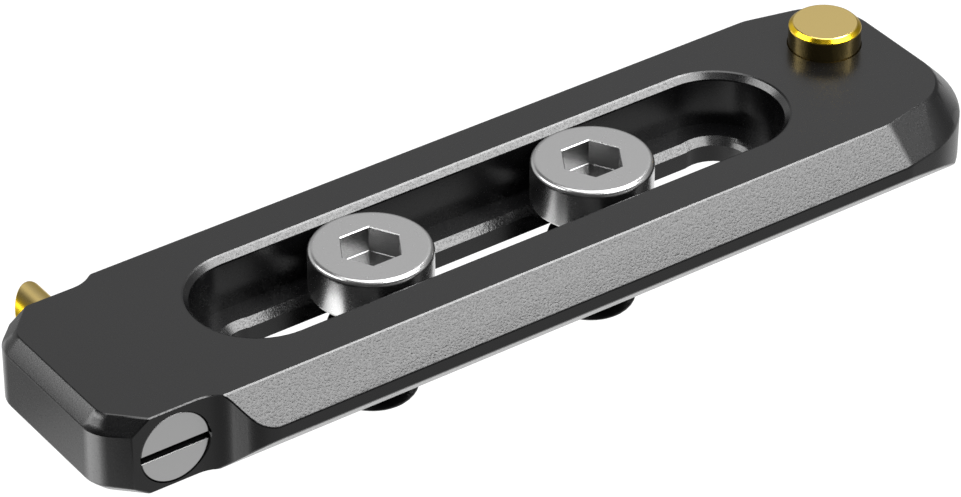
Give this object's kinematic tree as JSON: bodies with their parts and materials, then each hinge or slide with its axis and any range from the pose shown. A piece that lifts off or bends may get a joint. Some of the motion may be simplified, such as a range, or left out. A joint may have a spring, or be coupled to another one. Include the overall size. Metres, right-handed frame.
{
  "type": "nato rail",
  "caption": "Low-profile dovetail accessory rail with captive mounting screws in a stepped slot, a sprung slant-cut release pin and a fixed stop pin",
  "frame": {"origin": "on the underside of the rail, below the middle of the slot", "axes": "+X along the rail towards the stop pin, +Y towards the tip of the release pin, +Z out of the top face"},
  "size_m": [0.0727, 0.0225, 0.0132],
  "materials": {
    "black_anodised": "machined, fine bead blasted and black anodised",
    "satin_steel": "turned stainless steel, satin",
    "gold_plated": "turned and gold coated, polished",
    "spring_steel": "drawn spring wire"
  },
  "bodies": {
    "rail": {"rail_body": "black_anodised", "stop_pin": "gold_plated", "spring_plug": "satin_steel", "release_spring": "spring_steel"},
    "left_screw": {"left_mounting_screw": "satin_steel"},
    "right_screw": {"right_mounting_screw": "satin_steel"},
    "release": {"release_pin": "gold_plated"}
  },
  "joints": [
    {"name": "left_screw_slide", "type": "slide", "parent": "rail", "child": "left_screw", "axis": [1, 0, 0], "range_m": [-0.00887, 0.00477]},
    {"name": "right_screw_slide", "type": "slide", "parent": "rail", "child": "right_screw", "axis": [1, 0, 0], "range_m": [-0.00478, 0.01077]},
    {"name": "release_pin_press", "type": "slide", "parent": "rail", "child": "release", "axis": [0, -1, 0], "range_m": [0, 0.0042], "stiffness_N_per_m": 250, "springref_m": -0.003, "deforming": ["release_spring"]}
  ]
}
